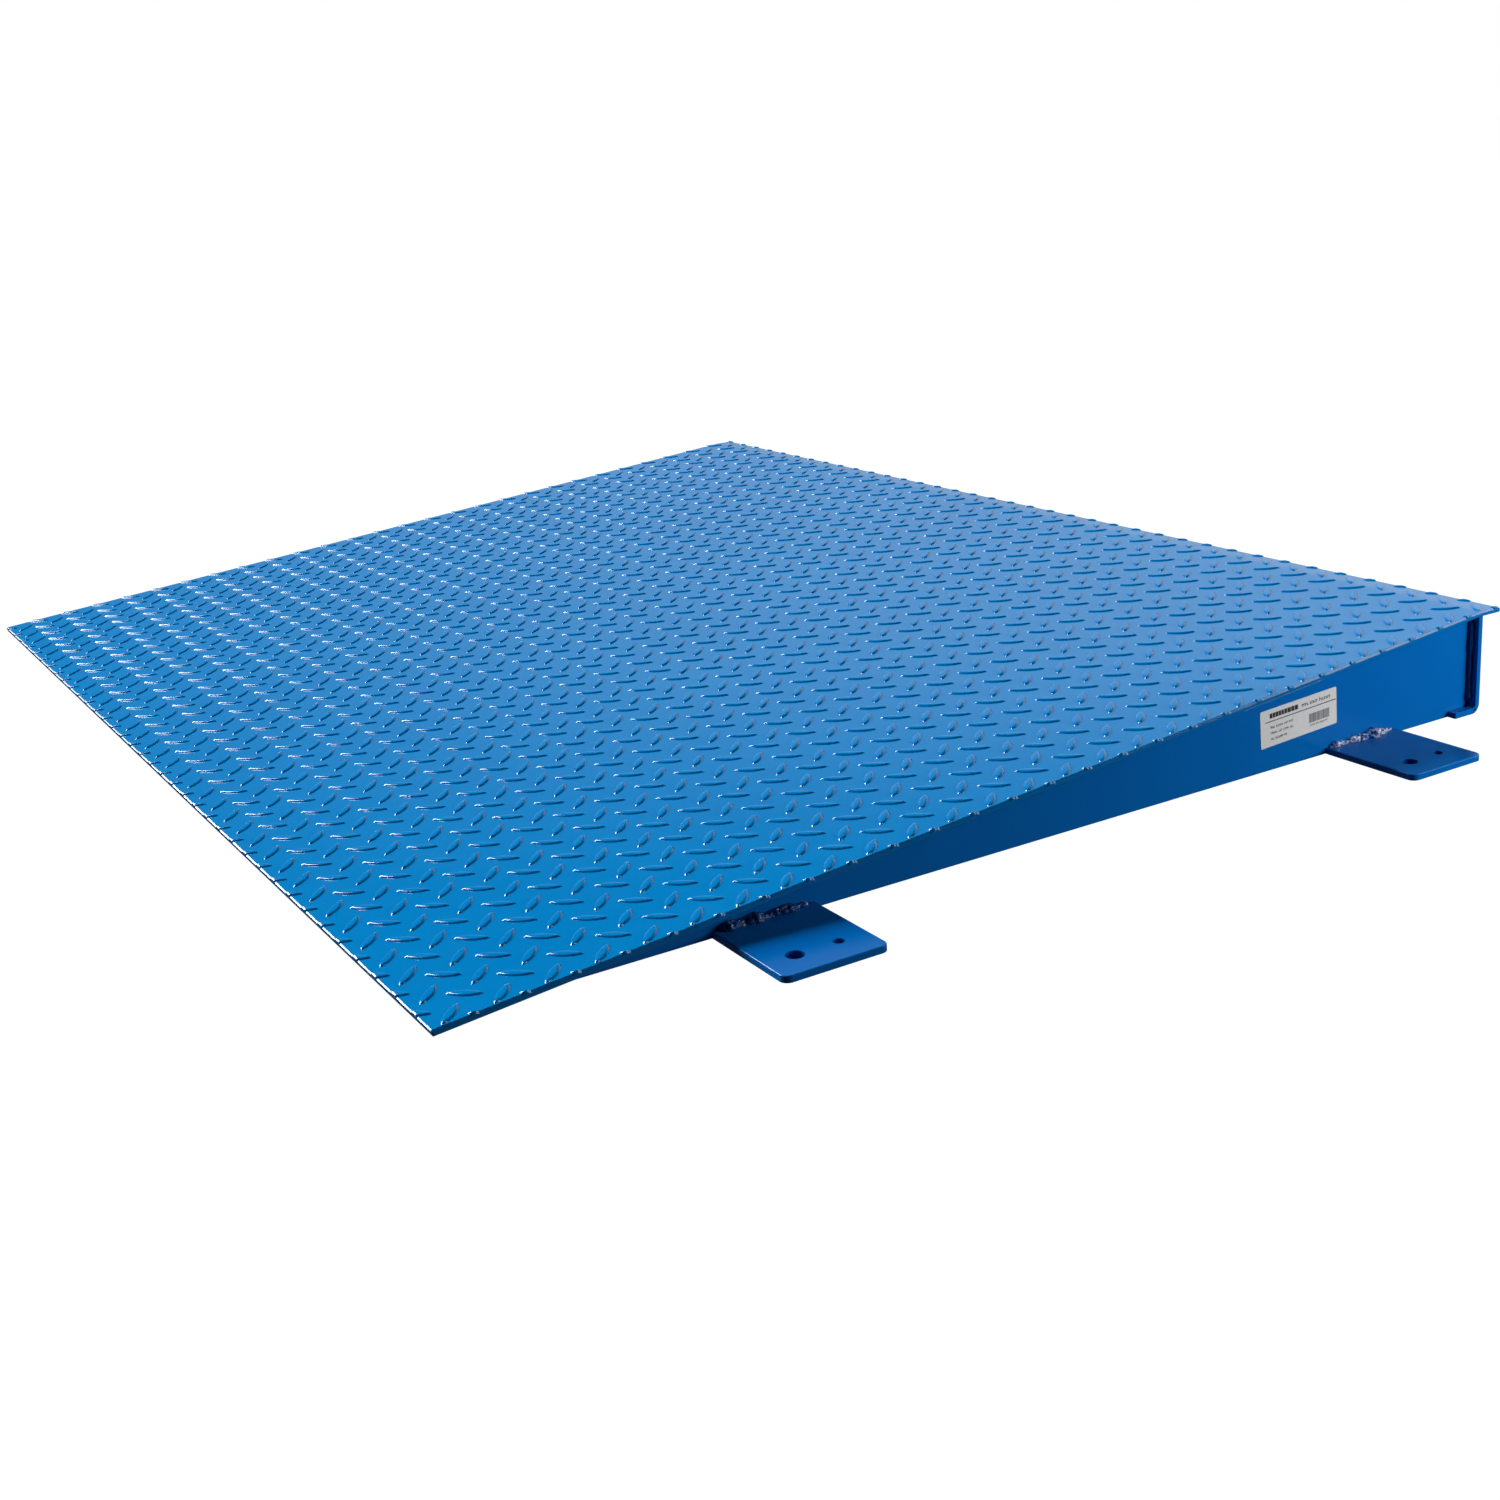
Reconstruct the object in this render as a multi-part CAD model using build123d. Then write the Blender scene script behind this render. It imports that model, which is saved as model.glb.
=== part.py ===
from build123d import *
import math
import os

# Drive-on ramp for a low floor scale: a tread-plate deck on two tapered side plates,
# four inner ribs and a folded rear member, with four anchor tabs that bolt to the floor.
# Millimetres. +X is to the right, +Y runs up the slope to the high rear end, +Z is up.
# The origin is the centre of the footprint, on the floor.

# Overall size
deck_width = 1219.2
ramp_depth = 914.4
ramp_height = 88.9

# Deck plate
deck_thickness = 4.2
lip_length = 22.0
lip_bend_radius = 90.0
toe_bevel = 0.9
toe_undercut = 0.9
lip_bevel = 2.5

# Frame plates
plate = 4.76
side_inset = 17.5
side_nose_setback = 60.0
rib_nose_setback = 110.0
rib_count = 4

# Folded rear member
rear_end_inset = 9.5
rear_overhang = 7.9
rear_flange_length = 28.6
rear_bend_radius = 3.2
notch_corner = 5.0

# Anchor tabs
tab_depth = 85.7
tab_width = 76.2
tab_corner_radius = 6.0
tab_edge_radius = 0.8
tab_setbacks = {"front": 231.0, "rear": 776.0}
hole_edge_distance = 23.6
hole_spacing = 31.75
large_hole_radius = 6.35
small_hole_radius = 3.97

# Weld beads
tab_bead_width = 8.0
tab_bead_height = 5.0
tab_bead_length = 70.0
bead_leg = 5.0
side_stitch_length = 76.0
side_stitch_setbacks = (150.0, 370.0, 590.0, 810.0)
rib_stitch_length = 50.0
rib_stitch_setbacks = (190.0, 410.0, 630.0, 850.0)
rear_stitch_length = 120.0

# Identification label on the right side plate
label_length = 81.0
label_height = 29.6
label_thickness = 0.25
label_corner_radius = 1.2
label_setback = 707.8
label_centre_drop = 31.6
label_tilt = 3.0

# Places worked out from the sizes above
half_width = deck_width / 2
y_front = -ramp_depth / 2
y_rear = ramp_depth / 2
lip_underside = ramp_height - deck_thickness
y_lip = y_rear - lip_length
slope = math.atan2(lip_underside, y_lip - y_front)
y_web_rear = y_rear - rear_overhang
y_web_front = y_web_rear - plate
y_flange_toe = y_web_rear - rear_flange_length
side_outer_x = half_width - side_inset
side_inner_x = side_outer_x - plate
rear_half_length = half_width - rear_end_inset


def underside_height(y):
    """Height of the sloping deck's underside above the floor."""
    return (y - y_front) * math.tan(slope)


def filleted(face, y, z, radius):
    """The profile with the corner at (y, z) rounded."""
    corner = face.vertices().sort_by_distance((y, z, 0))[0]
    return fillet(corner, radius)


def profile_solid(face, x_low, x_high):
    """A solid whose section across X is the given Y-Z profile."""
    return extrude(Plane.YZ.offset(x_low) * face, amount=x_high - x_low)


def make_deck_plate():
    """Flat plate on the slope, folded level at the rear lip, with its toe cut leaning back."""
    rise = math.tan(slope)
    top_at_front = deck_thickness / math.cos(slope)
    y_top_fold = y_front + (ramp_height - top_at_front) / rise
    top_behind_bevel = top_at_front + toe_bevel * rise
    y_toe_heel = y_front + toe_undercut
    outline = Polyline(
        (y_toe_heel, underside_height(y_toe_heel)),
        (y_lip, lip_underside),
        (y_rear, lip_underside),
        (y_rear, ramp_height - lip_bevel),
        (y_rear - lip_bevel, ramp_height),
        (y_top_fold, ramp_height),
        (y_front + toe_bevel, top_behind_bevel),
        (y_front, top_at_front - toe_bevel),
        close=True,
    )
    face = make_face(outline)
    face = filleted(face, y_lip, lip_underside, lip_bend_radius)
    face = filleted(face, y_top_fold, ramp_height, lip_bend_radius + deck_thickness)
    return profile_solid(face, -half_width, half_width)


def make_upright(x_low, x_high, nose_setback):
    """Tapered plate under the deck, notched at the rear to sit over the folded flange."""
    y_nose = y_front + nose_setback
    outline = Polyline(
        (y_nose, 0),
        (y_flange_toe, 0),
        (y_flange_toe, plate),
        (y_web_front - notch_corner, plate),
        (y_web_front, plate + notch_corner),
        (y_web_front, lip_underside),
        (y_lip, lip_underside),
        (y_nose, underside_height(y_nose)),
        close=True,
    )
    face = filleted(make_face(outline), y_lip, lip_underside, lip_bend_radius)
    return profile_solid(face, x_low, x_high)


def make_rear_member():
    """Plate folded into an L: a web up to the deck and a flange forward along the floor."""
    outline = Polyline(
        (y_flange_toe, 0),
        (y_web_rear, 0),
        (y_web_rear, lip_underside),
        (y_web_front, lip_underside),
        (y_web_front, plate),
        (y_flange_toe, plate),
        close=True,
    )
    face = make_face(outline)
    face = filleted(face, y_web_front, plate, rear_bend_radius)
    face = filleted(face, y_web_rear, 0, rear_bend_radius + plate)
    return profile_solid(face, -rear_half_length, rear_half_length)


def make_tab(side, y_centre):
    """Floor tab with a large anchor hole towards the front and a small one behind it."""
    blank = Box(tab_depth, tab_width, plate, align=(Align.MIN, Align.CENTER, Align.MIN))
    outer_corners = blank.edges().filter_by(Axis.Z).group_by(Axis.X)[-1]
    blank = fillet(outer_corners, tab_corner_radius)
    blank = fillet(blank.faces().sort_by(Axis.Z)[-1].edges(), tab_edge_radius)
    x_hole = tab_depth - hole_edge_distance
    holes = {-hole_spacing / 2: large_hole_radius, hole_spacing / 2: small_hole_radius}
    for y_hole, radius in holes.items():
        blank -= Pos(x_hole, y_hole, plate / 2) * Cylinder(radius, 2 * plate)
    tab = Pos(side_outer_x, y_centre, 0) * blank
    return tab if side == "right" else mirror(tab, Plane.YZ)


def bead(width, height, length):
    """Fillet bead along local Y, in the corner between local X = 0 and local Z = 0."""
    section = make_face(Polyline((0, 0), (width, 0), (0, height), close=True))
    return extrude(Plane.XZ.offset(-length / 2) * section, amount=length)


def under_deck(x, setback):
    """Frame on the deck's underside, with local Y up the slope and local Z down."""
    y = y_front + setback
    return Plane(
        origin=(x, y, underside_height(y)),
        x_dir=(1, 0, 0),
        z_dir=(0, math.sin(slope), -math.cos(slope)),
    )


def facing(solid, x, direction):
    """The solid, turned over in X about the plane at x when it faces towards -X."""
    return solid if direction > 0 else mirror(solid, Plane.YZ.offset(x))


def stitches(x, direction, setbacks, length):
    """Beads between the deck's underside and an upright's face at x, on the given side."""
    stitch = bead(bead_leg, bead_leg, length)
    return [facing(under_deck(x, s).location * stitch, x, direction) for s in setbacks]


def on_side(solid, side):
    """The right-hand solid, or its mirror image for the left-hand side."""
    return solid if side == "right" else mirror(solid, Plane.YZ)


def make_tab_weld(side, y_centre):
    """Bead on the tab's top, along its joint with the side plate."""
    weld = bead(tab_bead_width, tab_bead_height, tab_bead_length)
    return on_side(Pos(side_outer_x, y_centre, plate) * weld, side)


def make_side_deck_weld(side):
    """Stitch beads under the deck's overhang, outside the side plate."""
    beads = stitches(side_outer_x, 1, side_stitch_setbacks, side_stitch_length)
    return Compound([on_side(b, side) for b in beads])


def make_side_rear_weld(side):
    """Upright bead between the side plate's outer face and the rear web."""
    low = plate + rear_bend_radius
    high = lip_underside - bead_leg
    middle = (side_outer_x, y_web_front, (low + high) / 2)
    upright = Plane(origin=middle, x_dir=(1, 0, 0), z_dir=(0, -1, 0))
    return on_side(upright.location * bead(bead_leg, bead_leg, high - low), side)


def make_rib_weld(x_low, x_high):
    """Staggered stitch beads on both faces of a rib."""
    left = stitches(x_low, -1, rib_stitch_setbacks[::2], rib_stitch_length)
    right = stitches(x_high, 1, rib_stitch_setbacks[1::2], rib_stitch_length)
    return Compound(left + right)


def make_rear_deck_weld(bay_centres):
    """One bead in each bay, between the deck's underside and the rear web."""
    beads = []
    for x in bay_centres:
        corner = (x, y_web_front, lip_underside)
        frame = Plane(origin=corner, x_dir=(0, -1, 0), z_dir=(0, 0, -1))
        beads.append(frame.location * bead(bead_leg, bead_leg, rear_stitch_length))
    return Compound(beads)


def make_label():
    """Thin plate with rounded corners on the right side plate, tilted up towards the rear."""
    y = y_front + label_setback
    centre = (side_outer_x, y, underside_height(y) - label_centre_drop)
    tilt = math.radians(label_tilt)
    frame = Plane(origin=centre, x_dir=(0, math.cos(tilt), math.sin(tilt)), z_dir=(1, 0, 0))
    outline = RectangleRounded(label_length, label_height, label_corner_radius)
    return extrude(frame * outline, amount=label_thickness)


parts = {
    "deck_plate": make_deck_plate(),
    "rear_member": make_rear_member(),
    "side_plate_right": make_upright(side_inner_x, side_outer_x, side_nose_setback),
    "side_plate_left": make_upright(-side_outer_x, -side_inner_x, side_nose_setback),
    "label": make_label(),
}

for side in ("left", "right"):
    parts[f"side_deck_weld_{side}"] = make_side_deck_weld(side)
    parts[f"side_rear_weld_{side}"] = make_side_rear_weld(side)
    for end, setback in tab_setbacks.items():
        y_tab = y_front + setback
        parts[f"anchor_tab_{end}_{side}"] = make_tab(side, y_tab)
        parts[f"tab_weld_{end}_{side}"] = make_tab_weld(side, y_tab)

bay_width = 2 * side_inner_x / (rib_count + 1)
for number in range(1, rib_count + 1):
    x_rib = -side_inner_x + number * bay_width
    x_low, x_high = x_rib - plate / 2, x_rib + plate / 2
    parts[f"rib_{number}"] = make_upright(x_low, x_high, rib_nose_setback)
    parts[f"rib_weld_{number}"] = make_rib_weld(x_low, x_high)
bays = [-side_inner_x + (bay + 0.5) * bay_width for bay in range(rib_count + 1)]
parts["rear_deck_weld"] = make_rear_deck_weld(bays)

os.makedirs("parts", exist_ok=True)
for name, part in parts.items():
    export_step(part, f"parts/{name}.step")
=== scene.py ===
import math
import random

import bmesh
import bpy
import numpy as np
from mathutils import Matrix, Vector, geometry, noise


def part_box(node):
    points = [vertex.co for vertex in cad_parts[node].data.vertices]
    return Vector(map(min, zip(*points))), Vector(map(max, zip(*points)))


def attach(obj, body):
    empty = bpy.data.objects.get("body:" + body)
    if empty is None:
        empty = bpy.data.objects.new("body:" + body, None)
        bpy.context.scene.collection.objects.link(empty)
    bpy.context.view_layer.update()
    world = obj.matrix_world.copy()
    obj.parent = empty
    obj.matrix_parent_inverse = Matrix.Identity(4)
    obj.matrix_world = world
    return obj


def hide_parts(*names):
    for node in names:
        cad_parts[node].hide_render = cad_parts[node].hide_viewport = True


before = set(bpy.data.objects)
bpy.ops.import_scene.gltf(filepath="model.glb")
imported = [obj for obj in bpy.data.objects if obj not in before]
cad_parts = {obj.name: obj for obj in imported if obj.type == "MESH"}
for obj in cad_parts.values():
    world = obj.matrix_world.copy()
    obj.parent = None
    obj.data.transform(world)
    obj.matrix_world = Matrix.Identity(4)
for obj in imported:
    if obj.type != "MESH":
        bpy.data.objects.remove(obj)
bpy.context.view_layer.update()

# A drive-on ramp for a floor scale: the tread plate with its raised lugs, the weld beads
# and the label's print are made here, round the plates that the frame brings.
# Lengths in the constants are millimetres; Blender objects are in metres.
MM = 0.001

# Deck plate
DECK_THICKNESS = 4.2
LIP_LENGTH = 22.0
LIP_BEND_RADIUS = 90.0
SIDE_EDGE_BEVEL = 1.7
TOE_EDGE_BEVEL = 1.0
TOE_EDGE_FALL = 0.75
TOE_UNDERCUT = 0.9
LIP_EDGE_BEVEL = 2.5
LOWER_BEVEL = 0.7
# Rows down the rounded edge, as parts of the bevel's width and of its fall
EDGE_PROFILE = ((0.20, 0.04), (0.96, 0.80), (1.0, 1.0))
BEND_STEPS = 6

# Raised lugs: two sets at right angles, each on the same square grid
LUG_PITCH = 32.86
LUG_LENGTH = 24.5
LUG_WIDTH = 7.3
LUG_HEIGHT = 1.05
LUG_POINTS = 28
LUG_BLUNTNESS = 0.8
LUG_TIP_INSET = 1.6
# Rings up a lug, as an inset from its foot and a part of its height
LUG_RINGS = ((0.0, 0.0), (0.4, 0.36), (0.8, 0.70), (1.3, 0.94), (1.9, 1.0))
FORWARD_LUG_X = 581.6
FORWARD_LUG_SETBACK = 32.4
CROSS_LUG_OFFSET = (17.2, 16.26)
# The repeated tile: its first corner, and the bend in each side that keeps clear of lugs
TILE_START = -11.2
TILE_NOTCH = (5.2, 5.23)

# Plates of the frame
RIB_COUNT = 4
PLATE_EDGE_RADIUS = 0.5
PLATE_EDGE_ANGLE = 35.0
HOLE_EDGE_DISTANCE = 23.6
# Radius of the near-black disc of painted shade under each tab's holes
HOLE_SHADE_RADIUS = 22.9

# Weld beads
BEAD_STEP = 1.1
BEAD_PROFILE_POINTS = 9
BEAD_FULLNESS = 0.8
STITCH_RIPPLE = 3.2
STITCH_LUMPINESS = 0.5
TAB_RIPPLE = 5.0
TAB_LUMPINESS = 1.3
SPAN_GAP = 20.0

# Label
LABEL_LENGTH = 81.0
LABEL_HEIGHT = 29.6
LABEL_TILT = 3.0
INK_THICKNESS = 0.04

# Camera
CAMERA_PLACE = (1572.4, -788.3, 488.0)
CAMERA_YAW = -57.614
CAMERA_PITCH = 15.736
CAMERA_ROLL = 2.872
CAMERA_LENS = 46.05
CAMERA_SHIFT = (-0.054, -0.0587)

# Surroundings; the band's edge and reach are parts of a unit direction
BAND_STRENGTH = 1.0
BAND_EDGE = (0.27, 0.37)
BAND_LEAN = 0.2
BAND_REACH = (0.08, 1.0)
AMBIENT_BELOW = 0.07
AMBIENT_ABOVE = 0.015
AMBIENT_COLOUR = (0.45, 0.65, 1.0, 1.0)
HORIZON_BLUR = 0.02
FLOOR_GLOW = 1.0

# Direction of the key light from the ramp; light_ramp() holds the rest, in metres and watts
KEY_DIRECTION = (-0.754, -0.368, 0.545)


def box_mm(node):
    """Lowest and highest corner of a CAD node, in millimetres."""
    low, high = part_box(node)
    return low / MM, high / MM


# ---------------------------------------------------------------- node materials


def new_material(name):
    """An empty node material and its shader, joined to the output."""
    material = bpy.data.materials.new(name)
    material.use_nodes = True
    nodes = material.node_tree.nodes
    nodes.clear()
    output = nodes.new("ShaderNodeOutputMaterial")
    shader = nodes.new("ShaderNodeBsdfPrincipled")
    material.node_tree.links.new(shader.outputs["BSDF"], output.inputs["Surface"])
    return material, shader


def add_noise(tree, scale, detail, roughness=0.5):
    """Noise over the object's own coordinates; scale is in features per metre."""
    place = tree.nodes.new("ShaderNodeTexCoord")
    texture = tree.nodes.new("ShaderNodeTexNoise")
    texture.inputs["Scale"].default_value = scale
    texture.inputs["Detail"].default_value = detail
    texture.inputs["Roughness"].default_value = roughness
    tree.links.new(place.outputs["Object"], texture.inputs["Vector"])
    return texture.outputs["Fac"]


def add_range(tree, value, low, high, to_low, to_high):
    """The value's stretch from low to high, spread over a new range."""
    node = tree.nodes.new("ShaderNodeMapRange")
    node.inputs["From Min"].default_value = low
    node.inputs["From Max"].default_value = high
    node.inputs["To Min"].default_value = to_low
    node.inputs["To Max"].default_value = to_high
    tree.links.new(value, node.inputs["Value"])
    return node.outputs["Result"]


def add_colour_mix(tree, factor, first, second):
    """A colour between two, by the factor; each is a colour or a socket."""
    node = tree.nodes.new("ShaderNodeMix")
    node.data_type = "RGBA"
    tree.links.new(factor, node.inputs["Factor"])
    for name, colour in (("A", first), ("B", second)):
        socket = next(s for s in node.inputs if s.name == name and s.type == "RGBA")
        if isinstance(colour, tuple):
            socket.default_value = (*colour, 1.0)
        else:
            tree.links.new(colour, socket)
    return next(s for s in node.outputs if s.type == "RGBA")


def add_bump(tree, height, depth, strength, below=None):
    """Bump of the given depth in metres, on top of another bump if there is one."""
    node = tree.nodes.new("ShaderNodeBump")
    node.inputs["Strength"].default_value = strength
    node.inputs["Distance"].default_value = depth
    tree.links.new(height, node.inputs["Height"])
    if below is not None:
        tree.links.new(below, node.inputs["Normal"])
    return node.outputs["Normal"]


def make_paint(name, colour, dark_colour, gloss, shine, wave_depth, grain_depth):
    """Sprayed enamel: faint cloudy colour, uneven gloss, slow waves and a fine grain.

    gloss is the roughness, which wanders a little, and the two depths are in metres.
    """
    material, shader = new_material(name)
    tree = material.node_tree
    clouds = add_range(tree, add_noise(tree, 7.0, 3.0), 0.3, 0.7, 0.0, 1.0)
    tree.links.new(add_colour_mix(tree, clouds, dark_colour, colour), shader.inputs["Base Color"])
    patches = add_noise(tree, 38.0, 4.0)
    rough = add_range(tree, patches, 0.3, 0.7, gloss - 0.02, gloss + 0.03)
    tree.links.new(rough, shader.inputs["Roughness"])
    waves = add_bump(tree, add_noise(tree, 16.0, 1.0), wave_depth, 1.0)
    grain = add_bump(tree, add_noise(tree, 420.0, 1.0), grain_depth, 1.0, waves)
    tree.links.new(grain, shader.inputs["Normal"])
    shader.inputs["Specular IOR Level"].default_value = shine
    return material


def make_weld_paint(name, painted, cover):
    """Thick glossy paint over a rough bead, thin enough in spots to show bright metal."""
    material, shader = new_material(name)
    tree = material.node_tree
    spots = add_noise(tree, 330.0, 3.0, 0.65)
    bare = add_range(tree, spots, cover, cover + 0.06, 0.0, 1.0)
    metal = (0.74, 0.76, 0.92)
    tree.links.new(add_colour_mix(tree, bare, painted, metal), shader.inputs["Base Color"])
    shining = add_range(tree, spots, cover, cover + 0.06, 0.0, 0.5)
    tree.links.new(shining, shader.inputs["Metallic"])
    tree.links.new(add_range(tree, spots, 0.3, 0.7, 0.16, 0.32), shader.inputs["Roughness"])
    pits = add_bump(tree, add_noise(tree, 700.0, 3.0, 0.6), 0.0006, 0.8)
    tree.links.new(pits, shader.inputs["Normal"])
    shader.inputs["IOR"].default_value = 1.5
    return material


def make_print_stock(name, colour, shade, gloss):
    """Coated paper or ink with a faint fibre grain."""
    material, shader = new_material(name)
    tree = material.node_tree
    fibres = add_range(tree, add_noise(tree, 260.0, 5.0), 0.3, 0.7, 0.0, 1.0)
    tree.links.new(add_colour_mix(tree, fibres, shade, colour), shader.inputs["Base Color"])
    rough = add_range(tree, add_noise(tree, 120.0, 2.0), 0.3, 0.7, gloss - 0.05, gloss + 0.05)
    tree.links.new(rough, shader.inputs["Roughness"])
    grain = add_bump(tree, add_noise(tree, 1500.0, 2.0), 0.00001, 0.5)
    tree.links.new(grain, shader.inputs["Normal"])
    return material


def paint_flank_shade(material, colour, level, steep):
    """Paints shade into the colour: darker on cut edges, lug flanks and the underside.

    level and steep are the upward parts of the normals where the painted shade begins and where it is
    full.
    """
    tree = material.node_tree
    shader = next(n for n in tree.nodes if n.type == "BSDF_PRINCIPLED")
    base = shader.inputs["Base Color"].links[0].from_socket
    facing = tree.nodes.new("ShaderNodeSeparateXYZ")
    place = tree.nodes.new("ShaderNodeTexCoord")
    tree.links.new(place.outputs["Normal"], facing.inputs[0])
    flatness = add_range(tree, facing.outputs["Z"], steep, level, 0.0, 1.0)
    tree.links.new(add_colour_mix(tree, flatness, colour, base), shader.inputs["Base Color"])


deck_paint = make_paint(
    "deck_paint", (0.0, 0.205, 0.530), (0.0, 0.196, 0.510),
    gloss=0.10, shine=0.5, wave_depth=0.00012, grain_depth=0.000006,
)
# Painted shade: the deck's colour darkens where its faces turn away from straight up
paint_flank_shade(deck_paint, (0.0, 0.140, 0.420), level=0.97, steep=0.76)
frame_paint = make_paint(
    "frame_paint", (0.0, 0.132, 0.455), (0.0, 0.120, 0.430),
    gloss=0.20, shine=0.3, wave_depth=0.0002, grain_depth=0.00001,
)
# Painted shade: the beads in the joints, under the deck and by the rear member, are far darker than
# the frame
shaded_seam_paint = make_paint(
    "shaded_seam_paint", (0.0, 0.05, 0.22), (0.0, 0.04, 0.19),
    gloss=0.32, shine=0.3, wave_depth=0.0002, grain_depth=0.00002,
)
# A shaded and a lit copy of one weld paint: the front one darker, as painted shade under the deck, the
# rear one with many more bright spots, partly bare metal and partly painted glint
shaded_front_weld_paint = make_weld_paint("shaded_front_weld_paint", (0.0, 0.045, 0.18), 0.585)
lit_rear_weld_paint = make_weld_paint("lit_rear_weld_paint", (0.0, 0.06, 0.24), 0.46)
label_stock = make_print_stock("label_stock", (0.72, 0.72, 0.70), (0.68, 0.68, 0.66), 0.45)
dark_ink = make_print_stock("dark_ink", (0.018, 0.018, 0.020), (0.03, 0.03, 0.032), 0.5)
grey_ink = make_print_stock("grey_ink", (0.07, 0.07, 0.07), (0.10, 0.10, 0.10), 0.5)


# ---------------------------------------------------------------- mesh helpers


def add_piece(name, mesh, material, slot, *replaced):
    """A visible piece on the frame's one body, with its finish and what it stands for."""
    mesh.materials.append(material)
    piece = bpy.data.objects.new(name, mesh)
    bpy.context.scene.collection.objects.link(piece)
    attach(piece, "root")
    if replaced:
        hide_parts(*replaced)


def finish_mesh(name, mesh_data, smooth=True):
    """A Blender mesh in metres from a bmesh in millimetres, facing outwards."""
    bmesh.ops.recalc_face_normals(mesh_data, faces=mesh_data.faces)
    bmesh.ops.scale(mesh_data, vec=(MM, MM, MM), verts=mesh_data.verts)
    for face in mesh_data.faces:
        face.smooth = smooth
    mesh = bpy.data.meshes.new(name)
    mesh_data.to_mesh(mesh)
    mesh_data.free()
    return mesh


# ---------------------------------------------------------------- deck plate

deck_low, deck_high = box_mm("deck_plate")
half_width = deck_high.x
y_front, y_rear = deck_low.y, deck_high.y
deck_top = deck_high.z
underside_rise = deck_top - DECK_THICKNESS
slope = math.atan2(underside_rise, y_rear - LIP_LENGTH - y_front)

# The top line of the plate's section, by the distance s along it from the front
top_bend_radius = LIP_BEND_RADIUS + DECK_THICKNESS
front_top = DECK_THICKNESS / math.cos(slope)
y_fold = y_front + (deck_top - front_top) / math.tan(slope)
fold_tangent = top_bend_radius * math.tan(slope / 2)
s_bend = (y_fold - y_front) / math.cos(slope) - fold_tangent
s_level = s_bend + top_bend_radius * slope
s_end = s_level + y_rear - (y_fold + fold_tangent)


def on_deck(x, s, h):
    """Places of points h above the deck's top line, at distance s along it."""
    turned = np.clip((s - s_bend) / top_bend_radius, 0.0, slope)
    angle = slope - turned
    before = np.minimum(s, s_bend)
    after = np.maximum(s - s_level, 0.0)
    y = y_front + before * math.cos(slope) + after
    y += top_bend_radius * (math.sin(slope) - np.sin(angle))
    z = front_top + before * math.sin(slope)
    z += top_bend_radius * (np.cos(angle) - math.cos(slope))
    return np.stack([x, y - h * np.sin(angle), z + h * np.cos(angle)], axis=1)


def lug_rings(centre, direction):
    """Rings of points of one lens-shaped lug, from its foot up to its crown."""
    along = Vector(direction).normalized()
    across = Vector((-along.y, along.x))
    rings = []
    for inset, level in LUG_RINGS:
        half_length = LUG_LENGTH / 2 - LUG_TIP_INSET * inset
        half_breadth = LUG_WIDTH / 2 - inset
        ring = []
        for index in range(LUG_POINTS):
            turn = 2 * math.pi * index / LUG_POINTS
            reach = math.copysign(abs(math.sin(turn)) ** (2 * LUG_BLUNTNESS), math.sin(turn))
            point = Vector(centre) + along * (half_length * math.cos(turn))
            point += across * (half_breadth * reach)
            ring.append((point.x, point.y, level * LUG_HEIGHT))
        rings.append(ring)
    return rings


def inside(point, polygon):
    """Whether a point lies in a polygon, both in the plane."""
    crossings = 0
    for first, second in zip(polygon, polygon[1:] + polygon[:1]):
        if (first[1] > point[1]) != (second[1] > point[1]):
            share = (point[1] - first[1]) / (second[1] - first[1])
            crossings += point[0] < first[0] + share * (second[0] - first[0])
    return crossings % 2 == 1


def make_tread_tile():
    """Points and triangles of one pitch of the tread: a lug of each set and the flat round them."""
    low, high = TILE_START, LUG_PITCH + TILE_START
    in_x, in_y = TILE_NOTCH
    outline = [
        (low, low), (in_x, -in_y), (high, low), (LUG_PITCH - in_y, in_x),
        (high, high), (in_x, LUG_PITCH - in_y), (low, high), (-in_y, in_x),
    ]
    points = [(x, y, 0.0) for x, y in outline]
    edges = [(i, (i + 1) % len(outline)) for i in range(len(outline))]
    for centre, direction in (((0.0, 0.0), (1, 1)), (CROSS_LUG_OFFSET, (1, -1))):
        for ring in lug_rings(centre, direction):
            start = len(points)
            points += ring
            edges += [(start + i, start + (i + 1) % LUG_POINTS) for i in range(LUG_POINTS)]
    flat = [Vector(p[:2]) for p in points]
    made = geometry.delaunay_2d_cdt(flat, edges, [], 0, 1e-5)
    heights = [points[sources[0]][2] for sources in made[3]]
    tile = np.array([(v.x, v.y, h) for v, h in zip(made[0], heights)])
    triangles = [f for f in made[2] if inside(tile[f].mean(axis=0), outline)]
    return tile, np.array(triangles)


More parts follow.
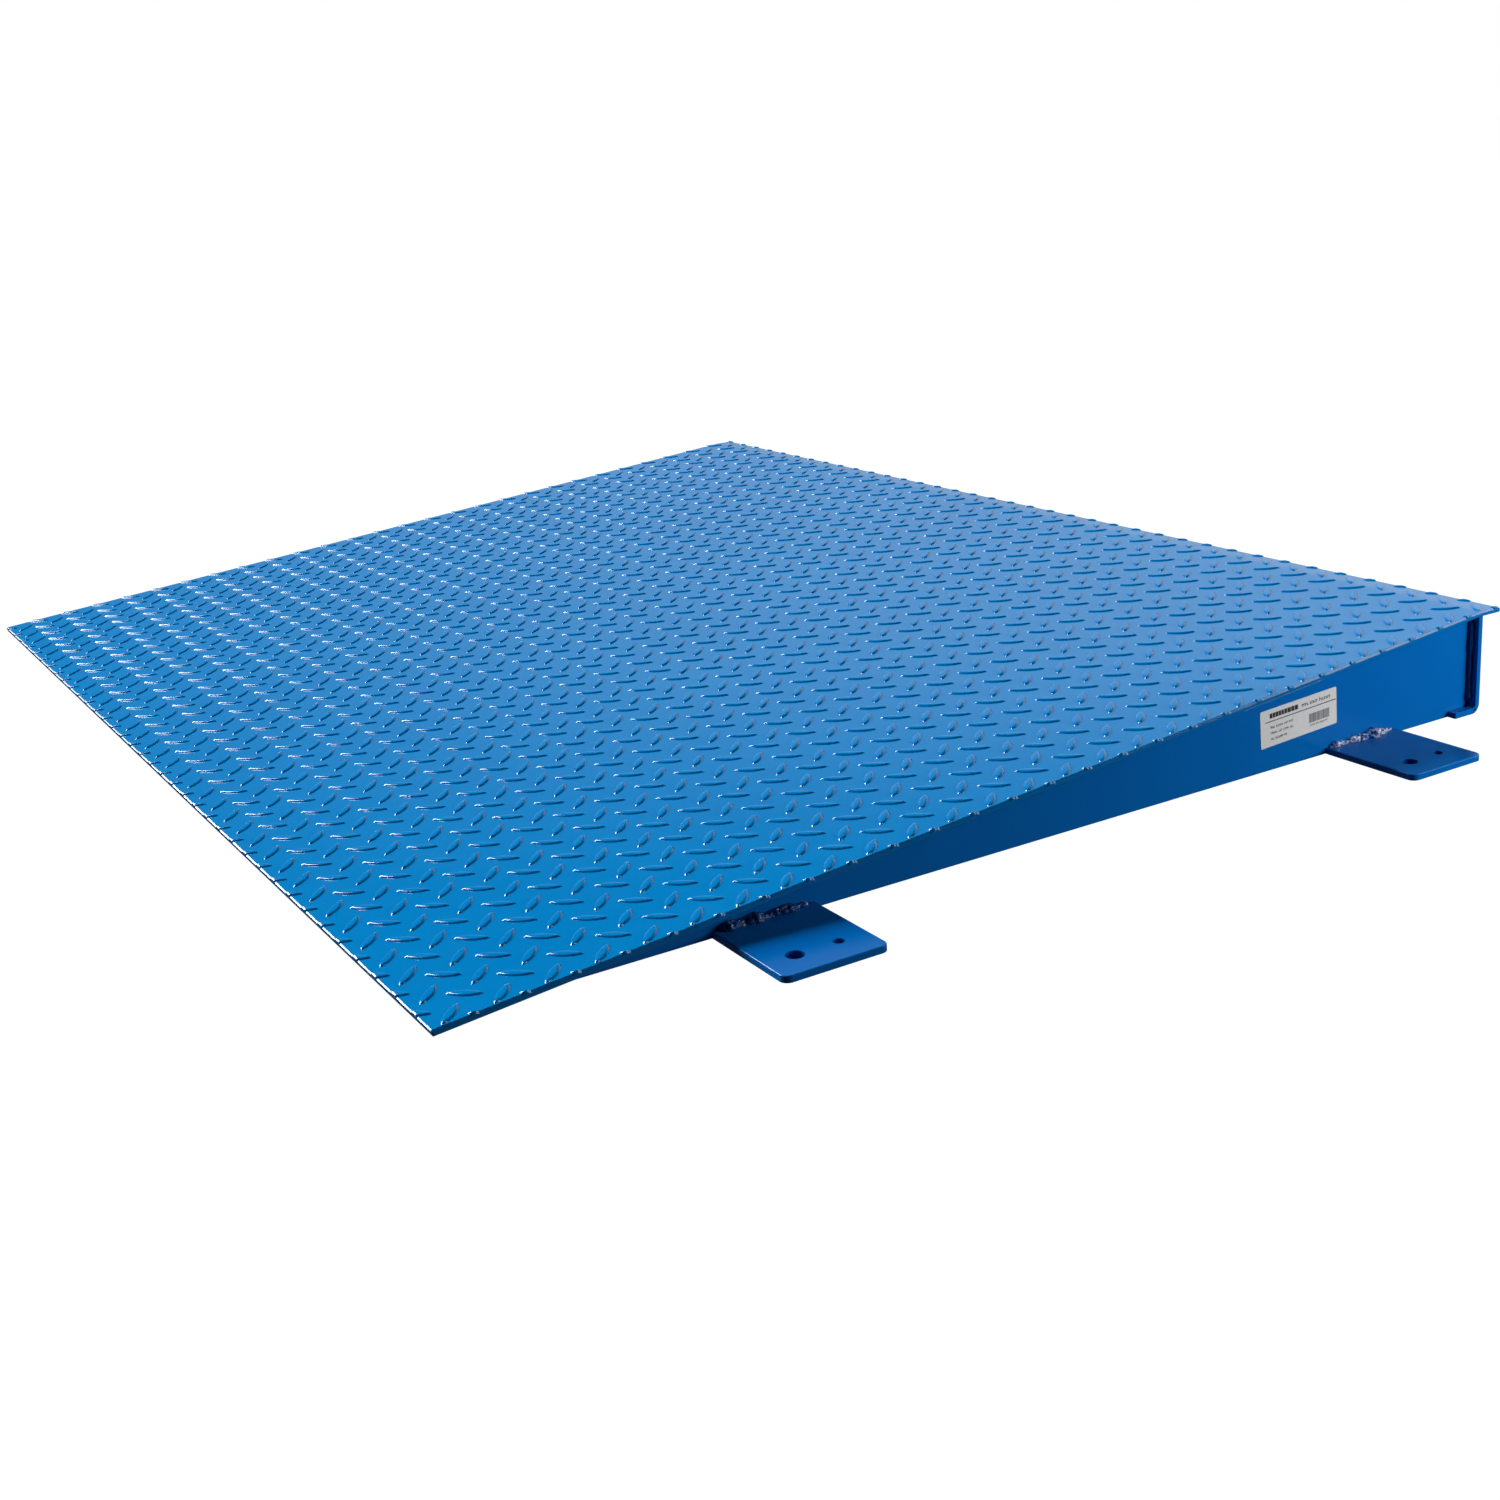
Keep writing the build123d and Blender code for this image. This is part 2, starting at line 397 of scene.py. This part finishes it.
def make_tread_sheet():
    """The lugged sheet laid flat, as x, distance along the slope and height, cut to size."""
    tile, triangles = make_tread_tile()
    columns = range(-int(1 + 2 * half_width / LUG_PITCH), 3)
    rows = range(-2, int(3 + s_end / LUG_PITCH))
    shifts = np.array([(c * LUG_PITCH, r * LUG_PITCH, 0.0) for c in columns for r in rows])
    shifts += (FORWARD_LUG_X, FORWARD_LUG_SETBACK, 0.0)
    points = (shifts[:, None, :] + tile[None, :, :]).reshape(-1, 3)
    starts = np.arange(len(shifts))[:, None, None] * len(tile)
    faces = (triangles[None, :, :] + starts).reshape(-1, 3)
    _, first, merged = np.unique(
        np.round(points * 1000).astype(np.int64), axis=0, return_index=True, return_inverse=True
    )
    mesh = bpy.data.meshes.new("tread_sheet")
    mesh.from_pydata(points[first].tolist(), [], merged.reshape(-1)[faces].tolist())
    sheet = bmesh.new()
    sheet.from_mesh(mesh)
    bpy.data.meshes.remove(mesh)
    edge_x = half_width - SIDE_EDGE_BEVEL
    cuts = [
        ((edge_x, 0, 0), (1, 0, 0)), ((-edge_x, 0, 0), (-1, 0, 0)),
        ((0, TOE_EDGE_BEVEL, 0), (0, -1, 0)), ((0, s_end - LIP_EDGE_BEVEL, 0), (0, 1, 0)),
    ]
    for place, outwards in cuts:
        geom = sheet.verts[:] + sheet.edges[:] + sheet.faces[:]
        bmesh.ops.bisect_plane(
            sheet, geom=geom, dist=1e-4, plane_co=place, plane_no=outwards, clear_outer=True
        )
    for step in range(BEND_STEPS + 1):
        s = s_bend + (s_level - s_bend) * step / BEND_STEPS
        near = [f for f in sheet.faces if abs(f.calc_center_median().y - s) < LUG_PITCH]
        geom = list({v for f in near for v in f.verts} | {e for f in near for e in f.edges}) + near
        bmesh.ops.bisect_plane(sheet, geom=geom, dist=1e-4, plane_co=(0, s, 0), plane_no=(0, 1, 0))
    return sheet


def boundary_loop(sheet):
    """The sheet's outer vertices in order round its edge."""
    after = {}
    for edge in sheet.edges:
        if edge.is_boundary:
            loop = edge.link_loops[0]
            after[loop.vert] = loop.link_loop_next.vert
    start = next(iter(after))
    ordered = [start]
    while after[ordered[-1]] is not start:
        ordered.append(after[ordered[-1]])
    return ordered


def outward(vertex):
    """Which ways a point on the sheet's edge faces, its bevel along the slope and its fall."""
    across = 0
    if abs(abs(vertex.co.x) - (half_width - SIDE_EDGE_BEVEL)) < 1e-3:
        across = math.copysign(1, vertex.co.x)
    along = 0
    if abs(vertex.co.y - TOE_EDGE_BEVEL) < 1e-3:
        along = -1
    if abs(vertex.co.y - (s_end - LIP_EDGE_BEVEL)) < 1e-3:
        along = 1
    end_bevel = {-1: TOE_EDGE_BEVEL, 0: 0.0, 1: LIP_EDGE_BEVEL}[along]
    end_fall = {-1: TOE_EDGE_FALL, 0: 0.0, 1: LIP_EDGE_BEVEL}[along]
    falls = [f for f in (abs(across) * SIDE_EDGE_BEVEL, end_fall) if f > 0]
    return across, along, end_bevel, sum(falls) / len(falls)


def make_deck():
    """The tread plate: lugged top, rounded edges, cut faces and underside, bent at the lip."""
    sheet = make_tread_sheet()
    foot = {v for v in sheet.verts if v.co.z < 1e-6}
    sharp = set()
    for edge in sheet.edges:
        raised = any(v not in foot for f in edge.link_faces for v in f.verts)
        if raised and all(v in foot for v in edge.verts):
            sharp.add(edge)
    rim = boundary_loop(sheet)
    ways = [outward(v) for v in rim]
    rows = [rim]
    for reach, fall in EDGE_PROFILE:
        row = []
        for vertex, (across, along, end_bevel, drop) in zip(rim, ways):
            x = vertex.co.x + across * SIDE_EDGE_BEVEL * reach
            s = vertex.co.y + along * end_bevel * reach
            row.append(sheet.verts.new((x, s, vertex.co.z - drop * fall)))
        rows.append(row)
    heel = TOE_UNDERCUT / math.cos(slope) - DECK_THICKNESS * math.tan(slope)
    lower, bottom = [], []
    for vertex, (across, along, _, _) in zip(rows[-1], ways):
        x, s, _ = vertex.co
        toe = along < 0
        lower.append(sheet.verts.new((x, 0.8 * heel if toe else s, LOWER_BEVEL - DECK_THICKNESS)))
        x -= across * LOWER_BEVEL
        s = heel if toe else s - along * LOWER_BEVEL
        bottom.append(sheet.verts.new((x, s, -DECK_THICKNESS)))
    rows += [lower, bottom]
    count = len(rim)
    for upper, lower in zip(rows, rows[1:]):
        for i in range(count):
            j = (i + 1) % count
            sheet.faces.new((upper[i], lower[i], lower[j], upper[j]))
    breaks = [s_bend + (s_level - s_bend) * step / BEND_STEPS for step in range(BEND_STEPS + 1)]
    limits = [-2 * DECK_THICKNESS] + breaks + [s_end + 1]
    side_vertices = {
        side: sorted((v for v, way in zip(bottom, ways) if way[0] == side), key=lambda v: v.co.y)
        for side in (-1, 1)
    }
    ends = {
        end: sorted((v for v, way in zip(bottom, ways) if way[:2] == (0, end)), key=lambda v: v.co.x)
        for end in (-1, 1)
    }
    for low, high in zip(limits, limits[1:]):
        left, right = (
            [v for v in side_vertices[side] if low - 1e-3 <= v.co.y <= high + 1e-3]
            for side in (-1, 1)
        )
        front = ends[-1] if low == limits[0] else []
        back = ends[1] if high == limits[-1] else []
        sheet.faces.new(left + back + right[::-1] + front[::-1])
    sheet.edges.ensure_lookup_table()
    for row in rows:
        for i in range(count):
            sharp.add(sheet.edges.get((row[i], row[(i + 1) % count])))
    for edge in sharp:
        edge.smooth = False
    flat = np.array([v.co for v in sheet.verts])
    placed = on_deck(flat[:, 0], flat[:, 1], flat[:, 2])
    for vertex, place in zip(sheet.verts, placed):
        vertex.co = place
    mesh = finish_mesh("tread_deck", sheet)
    add_piece("tread_deck", mesh, deck_paint, "deck_paint", "deck_plate")


# ---------------------------------------------------------------- frame plates


def finish_plate(name):
    """Softens the CAD plate's edges and paints it."""
    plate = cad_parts[name]
    plate.data.materials.clear()
    plate.data.materials.append(frame_paint)
    weld = plate.modifiers.new("join", "WELD")
    weld.merge_threshold = 1e-6
    bevel = plate.modifiers.new("edge", "BEVEL")
    bevel.width = PLATE_EDGE_RADIUS * MM
    bevel.segments = 2
    bevel.limit_method = "ANGLE"
    bevel.angle_limit = math.radians(PLATE_EDGE_ANGLE)
    plate.modifiers.new("shading", "WEIGHTED_NORMAL")


# ---------------------------------------------------------------- weld beads


def weld_spans(node, axis):
    """Lowest and highest corner of each separate bead of a CAD node, along one axis."""
    points = np.array([v.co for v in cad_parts[node].data.vertices]) / MM
    points = points[np.argsort(points[:, axis])]
    gaps = np.where(np.diff(points[:, axis]) > SPAN_GAP)[0] + 1
    return [(Vector(g.min(axis=0)), Vector(g.max(axis=0))) for g in np.split(points, gaps)]


def add_bead(mesh_data, start, end, first, second, leg, ripple, lumpiness, seed):
    """A fillet bead from start to end, reaching leg[0] along first and leg[1] along second."""
    start, end = Vector(start), Vector(end)
    along = (end - start).normalized()
    length = (end - start).length
    count = max(8, int(length / BEAD_STEP))
    rows = []
    for index in range(count + 1):
        share = index / count
        centre = start + along * (length * share)
        from_end = min(share, 1 - share) * length
        swell = math.sqrt(min(1.0, (from_end + 0.4) / (1.1 * leg[0])))
        swell *= 1 + lumpiness * 0.7 * noise.noise(Vector((share * length / 9.0, seed, 0.5)))
        row = [mesh_data.verts.new(centre)]
        for step in range(BEAD_PROFILE_POINTS):
            turn = math.pi / 2 * step / (BEAD_PROFILE_POINTS - 1)
            lag = 0.28 * ripple * math.sin(2 * turn)
            scale_marks = abs(math.sin(math.pi * (share * length + lag) / ripple))
            size = swell * (0.90 + 0.10 * scale_marks)
            reach = first * (leg[0] * math.cos(turn) ** 0.8)
            reach += second * (leg[1] * math.sin(turn) ** 0.8)
            place = centre + reach * size * BEAD_FULLNESS
            rough = noise.noise(place / 2.3 + Vector((seed, 0, 0)))
            rough += 0.6 * noise.noise(place / 0.9 + Vector((0, seed, 0)))
            place += (first + second) * (rough * lumpiness * leg[0] * 0.16 * math.sin(2 * turn))
            row.append(mesh_data.verts.new(place))
        rows.append(row)
    for lower, upper in zip(rows, rows[1:]):
        for i in range(len(lower)):
            j = (i + 1) % len(lower)
            mesh_data.faces.new((lower[i], lower[j], upper[j], upper[i]))
    mesh_data.faces.new(rows[0])
    mesh_data.faces.new(rows[-1][::-1])


X, Y, Z = Vector((1, 0, 0)), Vector((0, 1, 0)), Vector((0, 0, 1))
down_deck = Vector((0, math.sin(slope), -math.cos(slope)))


def make_weld(node, beads, ripple=STITCH_RIPPLE, lumpiness=STITCH_LUMPINESS, paint=shaded_seam_paint):
    """One visible piece of weld for a CAD node: beads are (start, end, first, second, leg)."""
    mesh_data = bmesh.new()
    for number, (start, end, first, second, leg) in enumerate(beads):
        seed = 7.3 * number + 0.37 * len(node)
        seed += (11.7 if "left" in node else 0.0) + (5.9 if "rear" in node else 0.0)
        add_bead(mesh_data, start, end, first, second, leg, ripple, lumpiness, seed)
    mesh = finish_mesh(node + "_bead", mesh_data)
    add_piece(node + "_bead", mesh, paint, "weld_paint", node)


def make_tab_weld(node):
    """Heavy lumpy bead between a tab and its side plate."""
    low, high = box_mm(node)
    outward_x = X if low.x > 0 else -X
    x = low.x if low.x > 0 else high.x
    leg = (high.x - low.x, high.z - low.z)
    bead = ((x, low.y, low.z), (x, high.y, low.z), outward_x, Z, leg)
    # The front tab's weld takes the copy with painted shade, the rear one the copy with painted glint
    paint = shaded_front_weld_paint if "front" in node else lit_rear_weld_paint
    make_weld(node, [bead], TAB_RIPPLE, TAB_LUMPINESS, paint)


def deck_stitches(node, plate_box):
    """Stitch beads under the deck, against whichever face of a plate they lie on."""
    beads = []
    for low, high in weld_spans(node, 1):
        on_right = (low.x + high.x) / 2 > (plate_box[0].x + plate_box[1].x) / 2
        x = low.x if on_right else high.x
        leg = high.x - low.x
        start = Vector((x, low.y, (low.y - y_front) * math.tan(slope)))
        end = Vector((x, high.y - leg * math.sin(slope), 0))
        end.z = (end.y - y_front) * math.tan(slope)
        beads.append((start, end, X if on_right else -X, down_deck, (leg, leg)))
    return beads


def make_welds():
    """Every bead of the ramp."""
    for side in ("left", "right"):
        for end in ("front", "rear"):
            make_tab_weld(f"tab_weld_{end}_{side}")
        node = f"side_deck_weld_{side}"
        make_weld(node, deck_stitches(node, box_mm(f"side_plate_{side}")))
        node = f"side_rear_weld_{side}"
        low, high = box_mm(node)
        x, outward_x = (low.x, X) if low.x > 0 else (high.x, -X)
        leg = (high.x - low.x, high.y - low.y)
        make_weld(node, [((x, high.y, low.z), (x, high.y, high.z), outward_x, -Y, leg)])
    for number in range(1, RIB_COUNT + 1):
        node = f"rib_weld_{number}"
        make_weld(node, deck_stitches(node, box_mm(f"rib_{number}")))
    beads = []
    for low, high in weld_spans("rear_deck_weld", 0):
        leg = (high.y - low.y, high.z - low.z)
        beads.append(((low.x, high.y, high.z), (high.x, high.y, high.z), -Y, -Z, leg))
    make_weld("rear_deck_weld", beads)


# ---------------------------------------------------------------- label


def label_frame():
    """Matrix from the label's own length, height and outward axes to the ramp."""
    low, high = box_mm("label")
    tilt = math.radians(LABEL_TILT)
    length_way = Vector((0, math.cos(tilt), math.sin(tilt)))
    height_way = Vector((0, -math.sin(tilt), math.cos(tilt)))
    centre = Vector((high.x, (low.y + high.y) / 2, (low.z + high.z) / 2))
    rotation = Matrix((length_way, height_way, X)).transposed().to_4x4()
    return Matrix.Translation(centre) @ rotation


def add_mark(mesh_data, x, y, width, height):
    """A thin printed block with its lower left corner at x, y on the label."""
    placed = bmesh.ops.create_cube(mesh_data, size=1.0)["verts"]
    for vertex in placed:
        vertex.co.x = x + (vertex.co.x + 0.5) * width
        vertex.co.y = y + (vertex.co.y + 0.5) * height
        vertex.co.z = (vertex.co.z + 0.5) * INK_THICKNESS


def add_greeked_line(mesh_data, x, y, length, height, dice):
    """A line of plain strokes that stands for small type without any letters."""
    reach = x
    while reach < x + length:
        for _ in range(dice.randint(3, 7)):
            if reach > x + length:
                break
            stroke = height * dice.uniform(0.20, 0.28)
            tall = height * dice.choice((0.7, 0.7, 0.8, 1.0))
            foot = dice.choice((0.0, 0.5)) * height
            add_mark(mesh_data, reach, y, stroke, tall)
            add_mark(mesh_data, reach, y + foot, 2.2 * stroke, 0.18 * height)
            reach += height * 0.58
        reach += height * 0.5


def make_label_print():
    """Generic print on the label: a heading bar, a rule, greeked lines and a bar pattern."""
    dice = random.Random(4)
    left, top = -LABEL_LENGTH / 2, LABEL_HEIGHT / 2
    heading = bmesh.new()
    reach = left + 0.12 * LABEL_LENGTH
    while reach < left + 0.47 * LABEL_LENGTH:
        width = dice.uniform(2.4, 3.6)
        add_mark(heading, reach, top - 7.4, width, 3.8)
        reach += width + 0.45
    add_mark(heading, left + 0.06 * LABEL_LENGTH, top - 10.2, 0.93 * LABEL_LENGTH, 0.7)
    bars = bmesh.new()
    add_greeked_line(bars, left + 0.54 * LABEL_LENGTH, top - 6.9, 0.39 * LABEL_LENGTH, 3.0, dice)
    add_greeked_line(bars, left + 0.64 * LABEL_LENGTH, top - 24.6, 0.24 * LABEL_LENGTH, 1.4, dice)
    reach = left + 0.63 * LABEL_LENGTH
    while reach < left + 0.90 * LABEL_LENGTH:
        width = dice.choice((0.22, 0.32, 0.46))
        add_mark(bars, reach, top - 22.0, width, 7.2)
        reach += width + dice.choice((0.24, 0.32, 0.44))
    fine = bmesh.new()
    for number, length in enumerate((0.30, 0.28, 0.20)):
        height = top - 15.6 - 4.6 * number
        add_greeked_line(fine, left + 0.13 * LABEL_LENGTH, height, length * LABEL_LENGTH, 2.1, dice)
    place = label_frame()
    prints = (
        ("label_heading_print", heading, dark_ink),
        ("label_bar_print", bars, dark_ink),
        ("label_fine_print", fine, grey_ink),
    )
    for name, mesh_data, ink in prints:
        bmesh.ops.transform(mesh_data, matrix=place, verts=mesh_data.verts)
        add_piece(name, finish_mesh(name, mesh_data, smooth=False), ink, "label")
    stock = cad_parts["label"]
    stock.data.materials.clear()
    stock.data.materials.append(label_stock)


# ---------------------------------------------------------------- studio


def make_floor():
    """A plain white floor that glows, so it shows only the faintest shadows."""
    material = bpy.data.materials.new("floor")
    material.use_nodes = True
    tree = material.node_tree
    tree.nodes.clear()
    output = tree.nodes.new("ShaderNodeOutputMaterial")
    add = tree.nodes.new("ShaderNodeAddShader")
    diffuse = tree.nodes.new("ShaderNodeBsdfDiffuse")
    diffuse.inputs["Color"].default_value = (0.04, 0.04, 0.04, 1)
    glow = tree.nodes.new("ShaderNodeEmission")
    glow.inputs["Strength"].default_value = FLOOR_GLOW
    tree.links.new(diffuse.outputs[0], add.inputs[0])
    tree.links.new(glow.outputs[0], add.inputs[1])
    tree.links.new(add.outputs[0], output.inputs["Surface"])
    bpy.ops.mesh.primitive_plane_add(size=60, location=(0, 0, -0.0005))
    floor = bpy.context.object
    floor.name = "floor"
    floor.data.materials.append(material)
    floor.visible_diffuse = False
    floor.visible_glossy = False


def make_hole_shade():
    """Near-black discs on the floor under the holes of each tab, painted shade seen through the holes,
    hidden elsewhere by the tab.
    """
    material, shader = new_material("hole_shade_disc")
    shader.inputs["Base Color"].default_value = (0.004, 0.006, 0.02, 1)
    shader.inputs["Roughness"].default_value = 0.9
    for side in ("left", "right"):
        for end in ("front", "rear"):
            low, high = box_mm(f"anchor_tab_{end}_{side}")
            outer_x = high.x - HOLE_EDGE_DISTANCE if low.x > 0 else low.x + HOLE_EDGE_DISTANCE
            place = (outer_x * MM, (low.y + high.y) / 2 * MM, -0.0003)
            bpy.ops.mesh.primitive_circle_add(
                vertices=48, radius=HOLE_SHADE_RADIUS * MM, fill_type="NGON", location=place
            )
            shade_disc = bpy.context.object
            shade_disc.name = f"hole_shade_disc_{end}_{side}"
            shade_disc.data.materials.append(material)


def add_product(tree, first, second):
    """The product of two values."""
    node = tree.nodes.new("ShaderNodeMath")
    node.operation = "MULTIPLY"
    tree.links.new(first, node.inputs[0])
    tree.links.new(second, node.inputs[1])
    return node.outputs[0]


def make_world():
    """A white backdrop to the camera; to the ramp, a bright band low behind it and dim cool light."""
    world = bpy.data.worlds.new("studio")
    bpy.context.scene.world = world
    world.use_nodes = True
    tree = world.node_tree
    tree.nodes.clear()
    output = tree.nodes.new("ShaderNodeOutputWorld")
    backdrop, band, ambient = (tree.nodes.new("ShaderNodeBackground") for _ in range(3))
    light = tree.nodes.new("ShaderNodeAddShader")
    mix = tree.nodes.new("ShaderNodeMixShader")
    path = tree.nodes.new("ShaderNodeLightPath")
    place = tree.nodes.new("ShaderNodeTexCoord")
    axes = tree.nodes.new("ShaderNodeSeparateXYZ")
    tree.links.new(place.outputs["Generated"], axes.inputs[0])
    rise = tree.nodes.new("ShaderNodeVectorMath")
    rise.operation = "DOT_PRODUCT"
    rise.inputs[1].default_value = (0.0, -BAND_LEAN, 1.0)
    tree.links.new(place.outputs["Generated"], rise.inputs[0])
    low_down = add_range(tree, rise.outputs["Value"], *BAND_EDGE, BAND_STRENGTH, 0.0)
    behind = add_range(tree, axes.outputs["Y"], *BAND_REACH, 0.0, 1.0)
    horizon = (-HORIZON_BLUR, HORIZON_BLUR)
    above = add_range(tree, axes.outputs["Z"], *horizon, 0.0, 1.0)
    glow = add_product(tree, add_product(tree, low_down, behind), above)
    tree.links.new(glow, band.inputs["Strength"])
    dim = add_range(tree, axes.outputs["Z"], *horizon, AMBIENT_BELOW, AMBIENT_ABOVE)
    tree.links.new(dim, ambient.inputs["Strength"])
    band.inputs["Color"].default_value = (1, 1, 1, 1)
    ambient.inputs["Color"].default_value = AMBIENT_COLOUR
    backdrop.inputs["Color"].default_value = (1, 1, 1, 1)
    tree.links.new(band.outputs[0], light.inputs[0])
    tree.links.new(ambient.outputs[0], light.inputs[1])
    tree.links.new(path.outputs["Is Camera Ray"], mix.inputs["Fac"])
    tree.links.new(light.outputs[0], mix.inputs[1])
    tree.links.new(backdrop.outputs[0], mix.inputs[2])
    tree.links.new(mix.outputs[0], output.inputs["Surface"])


def add_softbox(name, direction, distance, size, power, target=(0, 0, 0)):
    """A soft light of the given width and height, in a direction and at a distance from its target."""
    light = bpy.data.lights.new(name, "AREA")
    light.shape = "RECTANGLE"
    light.size, light.size_y = size
    light.energy = power
    lamp = bpy.data.objects.new(name, light)
    bpy.context.scene.collection.objects.link(lamp)
    way = Vector(direction).normalized()
    lamp.location = Vector(target) + way * distance
    lamp.rotation_euler = way.to_track_quat("Z", "Y").to_euler()
    lamp.visible_camera = False
    return lamp


def make_camera():
    """The camera, placed by its yaw, pitch and roll in degrees."""
    yaw, pitch, roll = (math.radians(a) for a in (CAMERA_YAW, CAMERA_PITCH, CAMERA_ROLL))
    look = Vector((math.sin(yaw), math.cos(yaw), 0)) * math.cos(pitch) - Z * math.sin(pitch)
    level = Vector((math.cos(yaw), -math.sin(yaw), 0))
    down = look.cross(level)
    right = math.cos(roll) * level + math.sin(roll) * down
    image_down = math.cos(roll) * down - math.sin(roll) * level
    data = bpy.data.cameras.new("camera")
    data.lens = CAMERA_LENS
    data.sensor_width = 36.0
    data.shift_x, data.shift_y = CAMERA_SHIFT
    data.clip_start, data.clip_end = 0.05, 100.0
    camera = bpy.data.objects.new("camera", data)
    bpy.context.scene.collection.objects.link(camera)
    turned = Matrix((right, -image_down, -look)).transposed().to_4x4()
    camera.matrix_world = Matrix.Translation(Vector(CAMERA_PLACE) * MM) @ turned
    bpy.context.scene.camera = camera


def light_ramp():
    """A large key light with its own sheen, a side fill, a toe light and a back light."""
    key = add_softbox("key", KEY_DIRECTION, 9.0, (4.2, 6.5), 1900.0)
    key.visible_glossy = False
    # Half a metre nearer than the key, because in the key's own plane it gave no highlights
    key_sheen = add_softbox("key_sheen", KEY_DIRECTION, 8.5, (3.97, 6.14), 1300.0)
    key_sheen.visible_diffuse = False
    side_fill = add_softbox("side_fill", (0.78, 0.54, 0.26), 0.8, (0.4, 0.4), 7.4, (0.6, 0.40, 0.03))
    side_fill.visible_glossy = False
    add_softbox("toe_light", (-0.965, -0.20, 0.17), 6.0, (1.3, 1.2), 22.0, (-0.3, -0.457, 0.0))
    back_light = add_softbox("back_light", (0.29, 0.69, 0.66), 8.0, (1.7, 3.4), 75.0, (0.6, 0.2, 0.06))
    back_light.visible_diffuse = False


make_camera()
make_deck()
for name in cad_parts:
    if name.startswith(("side_plate", "rib_", "anchor_tab", "rear_member")) and "weld" not in name:
        finish_plate(name)
make_welds()
make_label_print()
make_floor()
make_hole_shade()
make_world()
light_ramp()
bpy.context.scene.view_settings.view_transform = "Standard"
